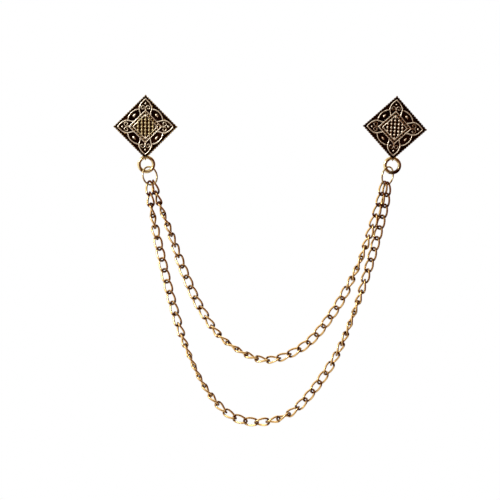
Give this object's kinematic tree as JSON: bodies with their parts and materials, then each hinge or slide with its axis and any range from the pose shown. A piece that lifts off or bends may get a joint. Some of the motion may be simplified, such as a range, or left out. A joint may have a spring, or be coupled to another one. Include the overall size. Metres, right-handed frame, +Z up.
{
  "type": "lapel chain",
  "caption": "Lapel chain: cast square pin heads set on their corners, joined by a short and a long curb chain that hang in deep curves.",
  "frame": {"origin": "where the left post goes into the cloth: on the post's axis, on the plane that both shoulders bear on", "axes": "+X from the left pin to the right one as seen from the front, +Y back through the cloth along the posts, +Z up"},
  "size_m": [0.1405, 0.0143, 0.1487],
  "materials": {
    "cast_head": "antique gold plate, dark in the recesses and rubbed bright on the relief",
    "post": "plain gold plate",
    "jump_ring": "polished pale gold plate",
    "link_ring": "antique gold plate",
    "chain": "antique gold plate"
  },
  "bodies": {
    "root": {"left_plate": "cast_head", "right_plate": "cast_head", "left_post": "post", "right_post": "post", "left_ring": "jump_ring", "right_ring": "jump_ring", "left_link_ring": "link_ring", "right_link_ring": "link_ring", "inner_chain": "chain", "outer_chain": "chain"}
  },
  "joints": []
}
